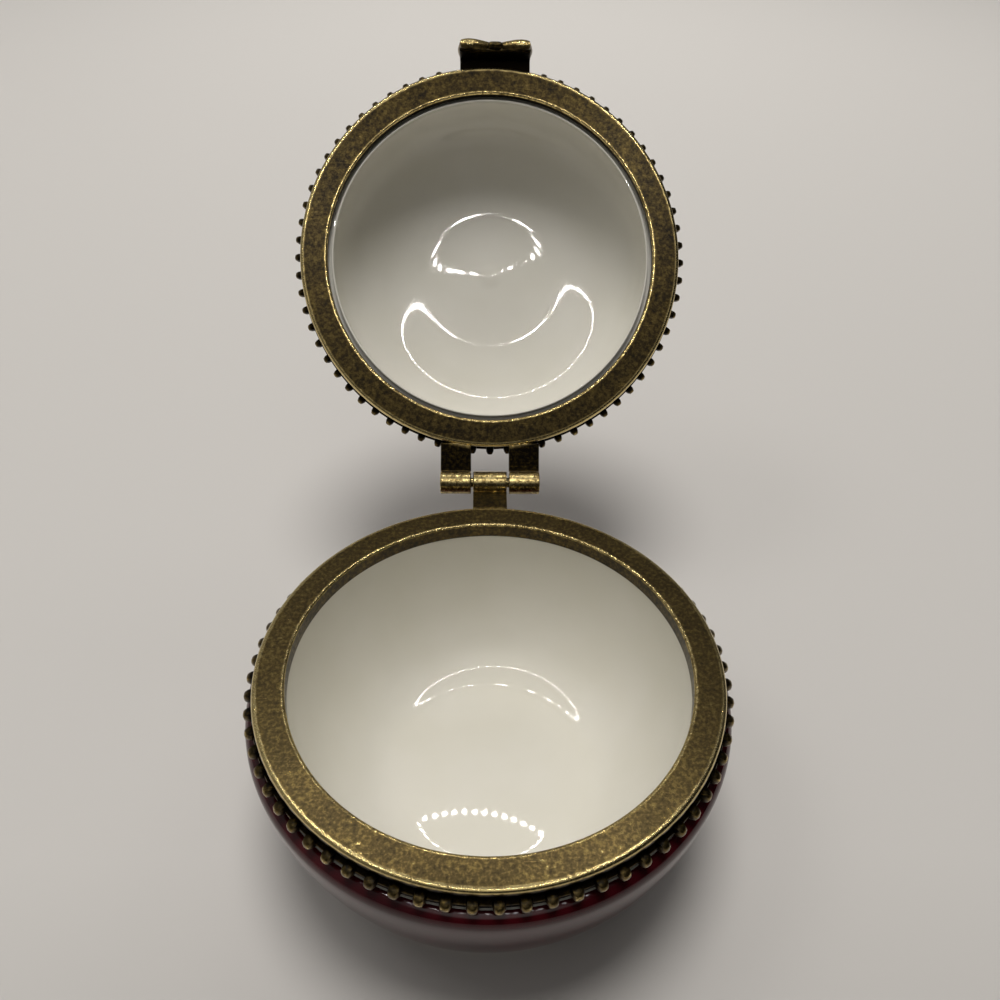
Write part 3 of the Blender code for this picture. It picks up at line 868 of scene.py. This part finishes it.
bowl_rim = on_lathe("beaded_bowl_rim", bowl_section, RIM_STEPS)
for tool in hinge_leaf("middle", -MIDDLE_HALF, MIDDLE_HALF, -TAB_DROP - TAB_THICKNESS, -TAB_DROP):
    cut(bowl_rim, tool, "UNION")
cut(bowl_rim, barrel("bore", BORE_RADIUS, -BORE_HALF, BORE_HALF, 0))
bowl_rim = join([bowl_rim, *bead_row(BOWL_BEAD, BOWL_BEAD_TURN, 0, 1, 0)], "beaded_bowl_rim")
cover(bowl_rim, antique_brass)
smooth(bowl_rim, RIM_CREASE, keep_flats=True)


def bowl_rim_wear_and_highlight(point):
    """Wear of the bowl's rim with its part of the hinge, whose tabs' side edges carry a painted highlight
    too.
    """
    hinge = hinge_wear_and_painted_light(point, BOWL_TAB_WEAR)
    return rim_wear_and_shade(point, BOWL_HOLE, BOWL_FLAT_WEAR) if hinge is None else hinge


remember(bowl_rim, bowl_rim_wear_and_highlight)
settle(bowl_rim, "base", "antique_brass", "bowl_rim")

# %% [markdown]
# The lid's rim is the same casting upside down, without the collar in its mouth. It has a lug at its
# front for the clasp, and no beads there. Its brass is painted darker all over than the bowl's rim,
# as painted shade, and darkest beside the lug, as a painted shadow under the clasp.

# %% Lid rim
LUG_HALF = 4.6 * MM
LUG_FRONT, LUG_BACK = -26.4 * MM, -24.6 * MM
LUG_LOW, LUG_HIGH = 0.8 * MM, 2.95 * MM
# The lid's flat and tabs are set lower than the bowl's: painted shade as well as wear.
LID_FLAT_WEAR_AND_SHADE = 0.34
LID_TAB_WEAR_AND_SHADE = 0.08
# Beside the lug the rim is painted near black: a painted shadow under the clasp.
LUG_SHADE = -0.2
LUG_ROUNDING = 0.2 * MM
LUG_MARGIN = 0.2 * MM  # the rim is as dark this far beside the lug
DARK_LOW, DARK_FRONT = 0.7 * MM, -24.9 * MM

lid_rim = on_lathe("beaded_lid_rim", lid_section, RIM_STEPS)
near, far = OUTER_SIDES
tab_low = FACE_GAP + TAB_DROP
tab_high = tab_low + TAB_THICKNESS
for name, low_x, high_x in (("left", -far, -near), ("right", near, far)):
    for tool in hinge_leaf(name, low_x, high_x, tab_low, tab_high):
        cut(lid_rim, tool, "UNION")
cut(lid_rim, barrel("bore", BORE_RADIUS, -BORE_HALF, BORE_HALF, 0))
lug_low = (CLASP_X - LUG_HALF, LUG_FRONT, LUG_LOW)
lug_high = (CLASP_X + LUG_HALF, LUG_BACK, LUG_HIGH)
cut(lid_rim, rounded_cube("lug", lug_low, lug_high, LUG_ROUNDING), "UNION")
lid_rim = join([lid_rim, *bead_row(LID_BEAD, 0, BARE_HALF_WIDTH, -1, FACE_GAP)], "beaded_lid_rim")
cover(lid_rim, antique_brass)
smooth(lid_rim, RIM_CREASE, keep_flats=True)


def lid_rim_wear_and_painted_light(point):
    """Wear of the lid's rim with its part of the hinge and its lug, with painted shade over it all and
    darkest beside the lug.
    """
    hinge = hinge_wear_and_painted_light(point, LID_TAB_WEAR_AND_SHADE)
    if hinge is not None:
        return hinge
    beside_lug = abs(point.x - CLASP_X) < LUG_HALF + LUG_MARGIN and point.z > DARK_LOW
    if beside_lug and point.y < DARK_FRONT:
        return LUG_SHADE
    return rim_wear_and_shade(point, LID_HOLE, LID_FLAT_WEAR_AND_SHADE, -1.0, FACE_GAP)


remember(lid_rim, lid_rim_wear_and_painted_light)
settle(lid_rim, "lid", "antique_brass", "lid_rim")

# %% [markdown]
# The pin is drawn brass wire, which is smoother and evener than a casting. Its ends are tapped over,
# which rounds their edges, and they lie just inside the outer knuckles.

# %% Hinge pin
PIN_RADIUS = 0.66 * MM
PIN_RECESS = 0.1 * MM
PIN_ROUNDING = 0.2 * MM
PIN_WEAR = 0.75

pin = barrel("tapped_pin", PIN_RADIUS, -far + PIN_RECESS, far - PIN_RECESS, PIN_ROUNDING)
cover(pin, drawn_brass)
smooth(pin, CREASE)
remember(pin, lambda point: PIN_WEAR)
settle(pin, "base", "polished_brass", "hinge_pin")

# %% [markdown]
# ## The lid
#
# The upper half of the apple: a thin dome that dips in the middle, where the stem stands. Inside it is
# an oval dome too, with a low round swelling under the dimple. Slip-cast ware has walls of fairly even
# thickness, so the inside follows the outside about 2 mm below it. It isn't an exact copy, because
# the slip pools and rounds off inside, so the inside has a formula of its own.

# %% The lid's line
CREST = (8.5 * MM, 13.5 * MM)
DIMPLE_HEIGHT = 12.4 * MM
DOME_STEPS = 24
DIMPLE_STEPS = 14
DOME_BASE = (24.3 * MM, 3.5 * MM)
DOME_EXPONENT = 1.9
WALL_TOP = (21.1 * MM, 1.8 * MM)
CEILING_HEIGHT = 11.4 * MM
CEILING_EXPONENT = 3.0
CEILING_STEPS = 80
SWELLINGS = ((12.0 * MM, 0.5 * MM), (2.0 * MM, 0.15 * MM))


def ceiling(radius):
    """Height of the inside: an oval with a flattened top, less the two swellings in its middle."""
    share = min(1.0, radius / WALL_TOP[0])
    rise = (CEILING_HEIGHT - WALL_TOP[1]) * (1 - share**CEILING_EXPONENT) ** (1 / CEILING_EXPONENT)
    for reach, depth in SWELLINGS:
        rise -= depth * (1 + cos(pi * min(1.0, radius / reach))) / 2
    return WALL_TOP[1] + rise


def lid_line():
    """From the dimple down the outside to the lip, then up the inside to the middle of the ceiling."""
    outside = [DOME_BASE, *curve_to(DOME_BASE, CREST, DOME_STEPS, True, DOME_EXPONENT)]
    outside += wave_to(CREST, (0, DIMPLE_HEIGHT), DIMPLE_STEPS)
    lip = [
        (24.5, 3.5, 0),
        (23.9, 3.5, 0),
        (23.9, 1.5, 0.25),
        (21.0, 1.5, 0),
        (21.0, 0.8, 0.2),
        (20.6, 0.8, 0.15),
        (20.95, 1.5, 0),
    ]
    line = list(reversed(outside))
    line += rounded(in_mm(lip), closed=False)[1:]
    line.append(WALL_TOP)
    for step in range(1, CEILING_STEPS + 1):
        radius = WALL_TOP[0] * sin(pi / 2 * (1 - step / CEILING_STEPS))
        line.append((radius, ceiling(radius)))
    return line


print(f"lid {CREST[1] / MM:.1f} mm high, {ceiling(0) / MM:.1f} mm high inside")

# %% Lid shell
INSIDE_RADIUS, INSIDE_TOP = 21.3 * MM, CEILING_HEIGHT + 0.3 * MM  # the inside lies within these
LID_LIP_RADIUS, LID_LIP_TOP = 23.95 * MM, 3.6 * MM  # and the lip within these
LOOKS_DOWN = -0.2  # a normal's Z below this

lid_shell = on_lathe("glazed_lid", lid_line(), PORCELAIN_STEPS)
cover(lid_shell, crimson_glaze, white_glaze)
for face in lid_shell.data.polygons:
    radius, outward = radius_and_outward(face)
    height = face.center.z
    within = radius < INSIDE_RADIUS and height < INSIDE_TOP
    on_lip = radius < LID_LIP_RADIUS and height < LID_LIP_TOP
    if on_lip or (within and (outward < 0 or face.normal.z < LOOKS_DOWN)):
        face.material_index = WHITE_FACE
smooth(lid_shell, CREASE)
remember(lid_shell)
settle(lid_shell, "lid", "crimson_glaze", "lid_shell")

# %% [markdown]
# ## Stem and leaf
#
# Both are modelled in clay on the dimple, then glazed. The stem is a short round bar that leans and
# flares to its cut end. A cylinder is enough to start from, because only its upper end changes: it is
# widened, its edge rounded, and its middle pressed in.

# %% Stem
STEM_RADIUS = 1.05 * MM
STEM_LENGTH = 5.6 * MM
STEM_FLARE = 1.3
STEM_LEAN = radians(9)
STEM_SUNK = 0.8 * MM
STEM_ROUNDING = 0.25 * MM
STEM_RIM, STEM_HOLLOW = 0.35 * MM, 0.15 * MM  # of the cut end

deselect_all()
bpy.ops.mesh.primitive_cylinder_add(
    vertices=32, radius=STEM_RADIUS, depth=STEM_LENGTH, location=(0, 0, STEM_LENGTH / 2)
)
stem = new_piece("stem")
apply_place(stem)
select_faces(stem, lambda centre, normal: normal.z > 0.9)
bpy.ops.transform.resize(value=(STEM_FLARE, STEM_FLARE, 1))
bpy.ops.mesh.bevel(offset=STEM_ROUNDING, segments=4, affect="EDGES")
bpy.ops.object.mode_set(mode="OBJECT")
select_faces(stem, lambda centre, normal: normal.z > 0.99)
bpy.ops.mesh.inset(thickness=STEM_RIM, depth=-STEM_HOLLOW)
bpy.ops.object.mode_set(mode="OBJECT")
stem_root = Matrix.Translation((0, 0, DIMPLE_HEIGHT - STEM_SUNK))
stem.data.transform(stem_root @ Matrix.Rotation(STEM_LEAN, 4, "Y"))
cover(stem, stem_glaze)
smooth(stem, CREASE)
remember(stem)
settle(stem, "lid", None)

# %% [markdown]
# The leaf is rolled thin, cut out, and laid over the crest, with its midrib and side veins pressed in.
# So here it is a plane, divided, bent by a formula and given a thickness. A sculpted leaf would be no
# better, because a glaze fills all but the deepest marks.

# %% Leaf
LEAF_LENGTH = 12.0 * MM
LEAF_HALF_WIDTH = 3.0 * MM
LEAF_STALK = 0.25 * MM
LEAF_START = (0.9 * MM, DIMPLE_HEIGHT + 1.2 * MM)
LEAF_ARCH = 1.5 * MM
LEAF_RISE = 0.3 * MM
LEAF_FOLD = 0.45 * MM
LEAF_THICKNESS = 0.95 * MM
LEAF_TURN = radians(-30)
VEIN_COUNT = 6
VEIN_DEPTH = 0.07 * MM
VEIN_SLANT = 0.12
VEIN_SHARPNESS = 4
LEAF_BELLY = 0.8  # under 1, the widest place lies nearer the stem
LEAF_CREASE = 60


def leaf_place(along, across):
    """Where a point of the flat leaf goes: 0 to 1 from stem to tip, and -1 to 1 across."""
    swell = sin(pi * along)
    half_width = max(LEAF_HALF_WIDTH * sin(pi * along**LEAF_BELLY), LEAF_STALK)
    lift = LEAF_ARCH * swell + LEAF_RISE * along
    lift -= LEAF_FOLD * (1 - abs(across)) * swell
    vein = cos(2 * pi * (along - VEIN_SLANT * abs(across)) * VEIN_COUNT)
    lift -= VEIN_DEPTH * max(0.0, vein) ** VEIN_SHARPNESS * swell * (1 - abs(across) ** 3)
    return (LEAF_START[0] + LEAF_LENGTH * along, half_width * across, LEAF_START[1] + lift)


deselect_all()
bpy.ops.mesh.primitive_plane_add(size=2)
leaf = new_piece("leaf")
edit_all(leaf)
bpy.ops.mesh.subdivide(number_cuts=35)
bpy.ops.object.mode_set(mode="OBJECT")
for vertex in leaf.data.vertices:
    vertex.co = leaf_place((vertex.co.x + 1) / 2, vertex.co.y)
leaf.data.transform(Matrix.Rotation(LEAF_TURN, 4, "Z"))
apply_modifier(leaf, "SOLIDIFY", thickness=LEAF_THICKNESS, offset=-1)
edge = {"width": 0.2 * MM, "segments": 3, "limit_method": "ANGLE", "angle_limit": radians(CREASE)}
apply_modifier(leaf, "BEVEL", **edge)
cover(leaf, leaf_glaze)
smooth(leaf, LEAF_CREASE)
remember(leaf)
settle(leaf, "lid", None)

# %% [markdown]
# ## The bow
#
# The clasp is a small cast bow on a flat back bar: two puffed loops and a knot. A loop could be a
# curved ribbon with a thickness, but a casting this small is solid. So a loop is a divided cube
# swollen towards a ball, pressed to its real depth, and then drawn in and pleated towards the knot.

# %% Bow loops
CLASP_BACK = -26.3 * MM
CLASP_LOW = -2.1 * MM
CLASP_HIGH = 2.6 * MM
CLASP_HALF = 4.9 * MM
LOOP_DEPTH = 1.48 * MM
LOOP_SIZE = (CLASP_HALF, LOOP_DEPTH, CLASP_HIGH - CLASP_LOW)
LOOP_ROUNDNESS = 0.4
PLEAT_DEPTH = 0.09 * MM
PLEAT_WIDTH = 0.75 * MM  # of one ridge or one fold
PLEAT_END, TIP_START = 0.8, 0.75  # shares of the way outward
TIP_THINNING = 0.4
NECK_THICKNESS, NECK_HEIGHT = 0.68, 0.62  # the shares of both that are left under the knot
THICKENING, HEIGHTENING = 1.7, 1.4  # how fast both grow back on the way outward


def bow_loop(side):
    """One loop, from under the knot out to its round end."""
    deselect_all()
    bpy.ops.mesh.primitive_cube_add(size=1)
    loop = new_piece("loop")
    edit_all(loop)
    bpy.ops.mesh.subdivide(number_cuts=7)
    bpy.ops.transform.tosphere(value=LOOP_ROUNDNESS)
    bpy.ops.object.mode_set(mode="OBJECT")
    loop.scale = [wanted / size for wanted, size in zip(LOOP_SIZE, loop.dimensions)]
    apply_place(loop)
    for vertex in loop.data.vertices:
        outward = 0.5 + side * vertex.co.x / CLASP_HALF
        pleat = PLEAT_DEPTH * cos(vertex.co.z / PLEAT_WIDTH * pi) * max(0.0, PLEAT_END - outward)
        tip = max(0.0, (outward - TIP_START) / (1 - TIP_START))
        neck = NECK_THICKNESS + (1 - NECK_THICKNESS) * min(1.0, THICKENING * outward)
        thinning = neck * (1 - TIP_THINNING * tip**2)
        vertex.co.z *= NECK_HEIGHT + (1 - NECK_HEIGHT) * min(1.0, HEIGHTENING * outward)
        vertex.co.y = vertex.co.y * thinning + pleat
    middle = (CLASP_X + side * CLASP_HALF / 2, CLASP_BACK - LOOP_DEPTH / 2, (CLASP_LOW + CLASP_HIGH) / 2)
    loop.data.transform(Matrix.Translation(middle))
    return loop


# %% Bow clasp
KNOT_HALF = 1.05 * MM
BAR_INSET = 0.25 * MM
# The bow's back and the folds by its knot are painted dark: painted shade.
FRONT_WEAR, LOW_EDGE_WEAR, FOLD_SHADE = 1.25, 1.1, 0.45
LOW_EDGE_REACH, FOLD_REACH = 0.9 * MM, 1.8 * MM

bar = rounded_cube(
    "bow_bar",
    (CLASP_X - CLASP_HALF + BAR_INSET, CLASP_BACK - 0.8 * MM, CLASP_LOW + 0.9 * MM),
    (CLASP_X + CLASP_HALF - BAR_INSET, CLASP_BACK, CLASP_HIGH - 0.35 * MM),
    0.2 * MM,
)
knot = rounded_cube(
    "knot",
    (CLASP_X - KNOT_HALF, CLASP_BACK - LOOP_DEPTH + 0.24 * MM, CLASP_LOW + 0.3 * MM),
    (CLASP_X + KNOT_HALF, CLASP_BACK - 0.2 * MM, CLASP_HIGH - 0.3 * MM),
    0.6 * MM,
    segments=5,
)
bow = join([bar, bow_loop(-1), bow_loop(1), knot], "brass_bow")
cover(bow, antique_brass)
smooth(bow, CREASE)


def bow_wear_and_shade(point):
    """The bow is worn gold on its front and low edge, and painted dark with shade at its back and in the
    folds by the knot.
    """
    proud = max(0.0, (CLASP_BACK - point.y) / LOOP_DEPTH)
    low = max(0.0, 1 - (point.z - CLASP_LOW) / LOW_EDGE_REACH) if proud > 0.08 else 0.0
    fold = max(0.0, 1 - abs(point.x - CLASP_X) / FOLD_REACH)
    return max(FRONT_WEAR * proud**0.7 - 0.05, LOW_EDGE_WEAR * low) - FOLD_SHADE * fold


remember(bow, bow_wear_and_shade)
settle(bow, "lid", "antique_brass", "bow_clasp")

# %% [markdown]
# ## Floor, light and camera
#
# The box stands on matt paper in a light tent. The paper is painted a little greyer towards its
# front edge: painted shade, where less of the tent's light reaches it. A ramp along the floor's own Y
# axis gives that, and leaves no hard border.

# %% Floor
FLOOR_SIZE = 4  # metres
FRONT_EDGE = -100 * MM
UNSHADED_PAPER = -10 * MM

deselect_all()
bpy.ops.mesh.primitive_plane_add(size=FLOOR_SIZE)
floor = new_piece("floor")
paper, tree, shader = new_material("matt paper with painted shade towards its front edge")
place = node(tree, "ShaderNodeTexCoord").outputs["Object"]
depth = node(tree, "ShaderNodeSeparateXYZ", {"Vector": place}).outputs["Y"]
inputs = {"Value": depth, "From Min": FRONT_EDGE, "From Max": UNSHADED_PAPER}
to_back = node(tree, "ShaderNodeMapRange", inputs)
# The darker stop is painted shade at the paper's front edge.
shade = node(tree, COLOUR_RAMP, {"Fac": to_back}, stops=[(0.0, "#b2afab"), (1.0, "#dddad6")])
set_inputs(tree, shader, {"Base Color": shade, "Roughness": 0.7})
cover(floor, paper)
print("floor:", paper.name)

# %% [markdown]
# Most of the light comes softly through the tent's roof, and less through its back and sides. Those
# lamps are kept out of the gloss, where the tent's walls show instead. A ring of small lamps over the
# box shows only in the gloss: the glaze mirrors it as rows of dots and the brass shines in it. One
# bright ring would be simpler, but it mirrors as a plain line.

# %% Lamps
RING_CENTRE = Vector((-12.4 * MM, 18.25 * MM, rim_height + 180 * MM))
RING_RADIUS = 75 * MM
LAMP_COUNT = 80
LAMP_SIZE = 2.4 * MM
LAMP_POWER = 0.00176
WARM_WHITE = colour("#fffcf8")[:3]


def disk_lamp(name, place, size, power):
    """A round lamp that shines straight down. The camera does not see it."""
    data = bpy.data.lights.new(name, "AREA")
    data.shape = "DISK"
    data.size = size
    data.energy = power
    data.color = WARM_WHITE
    lamp = bpy.data.objects.new(name, data)
    lamp.location = place
    lamp.visible_camera = False
    bpy.context.collection.objects.link(lamp)
    return lamp


for index in range(LAMP_COUNT):
    angle = 2 * pi * index / LAMP_COUNT
    around = Vector((RING_RADIUS * cos(angle), RING_RADIUS * sin(angle), 0))
    ring_lamp = disk_lamp(f"ring_lamp_{index:02d}", RING_CENTRE + around, LAMP_SIZE, LAMP_POWER)
    ring_lamp.visible_diffuse = False

tent_lamps = (
    ("tent_roof", (-20, 130, 1100), 500, 6.2),
    ("tent_back", (0, 450, 350), 300, 0.44),
    ("tent_left", (-300, 60, 500), 200, 0.26),
    ("tent_right", (300, 350, 400), 250, 0.18),
)
for name, place_mm, size_mm, power in tent_lamps:
    tent_lamp = disk_lamp(name, Vector(place_mm) * MM, size_mm * MM, power)
    tent_lamp.visible_glossy = False
print(f"{LAMP_COUNT} ring lamps and {len(tent_lamps)} tent lamps")

# %% [markdown]
# The tent's walls glow a little, most at the back left, and a brighter panel stands high in front.
# They are painted on the world by direction, which is quicker to change than walls of cloth.

# %% Tent walls
TO_BACK_LEFT = (-0.80, 0.55, 0.25)
TO_FRONT_PANEL = (0, -0.5, 0.87)
DARKEST_WALL = 0.01
BRIGHTEST_WALL = 0.24
PANEL_GLOW = 0.55

world = bpy.data.worlds.new("tent walls")
bpy.context.scene.world = world
world.use_nodes = True
tree = world.node_tree
walls = tree.nodes["Background"]
toward = node(tree, "ShaderNodeTexCoord").outputs["Generated"]
to_left = node(tree, "ShaderNodeVectorMath", {0: toward, 1: TO_BACK_LEFT}, operation="DOT_PRODUCT")
inputs = {"Value": to_left.outputs["Value"], "From Min": -0.35, "From Max": 1.0}
inputs |= {"To Min": DARKEST_WALL, "To Max": BRIGHTEST_WALL}
glow = node(tree, "ShaderNodeMapRange", inputs)
to_panel = node(tree, "ShaderNodeVectorMath", {0: toward, 1: TO_FRONT_PANEL}, operation="DOT_PRODUCT")
inputs = {"Value": to_panel.outputs["Value"], "From Min": 0.9, "From Max": 0.99, "To Max": PANEL_GLOW}
panel = node(tree, "ShaderNodeMapRange", inputs, interpolation_type="SMOOTHSTEP")
strength = node(tree, MATH, {0: glow, 1: panel}, operation="ADD")
set_inputs(tree, walls, {"Color": colour("#f4f2ee"), "Strength": strength})
bpy.context.scene.view_settings.view_transform = "Standard"
print("walls:", world.name)

# %% [markdown]
# The camera looks down into the box from the front, a little from the left, from 12 cm away. It is
# also swung and rolled by two or three degrees, as a camera held in the hand is.

# %% Camera
LENS_MM = 32.09
SENSOR_MM = 36
CAMERA_SHIFT = (-0.0148, 0.0009)
CAMERA_PLACE = (-1.06 * MM, -60.60 * MM, rim_height + 75.40 * MM)
CAMERA_SWING, CAMERA_DOWN, CAMERA_ROLL = -0.04905, 0.71469, 0.03641  # radians

camera_data = bpy.data.cameras.new("camera")
camera_data.lens = LENS_MM
camera_data.sensor_width = SENSOR_MM
camera_data.shift_x, camera_data.shift_y = CAMERA_SHIFT
camera_data.clip_start = 5 * MM
camera = bpy.data.objects.new("camera", camera_data)
bpy.context.collection.objects.link(camera)
look = Matrix.Rotation(CAMERA_SWING, 4, "Z")
look @= Matrix.Rotation(pi / 2 - CAMERA_DOWN, 4, "X")
look @= Matrix.Rotation(CAMERA_ROLL, 4, "Z")
camera.matrix_world = Matrix.Translation(CAMERA_PLACE) @ look
bpy.context.scene.camera = camera
print(f"camera {LENS_MM} mm, {degrees(CAMERA_DOWN):.1f} degrees down")
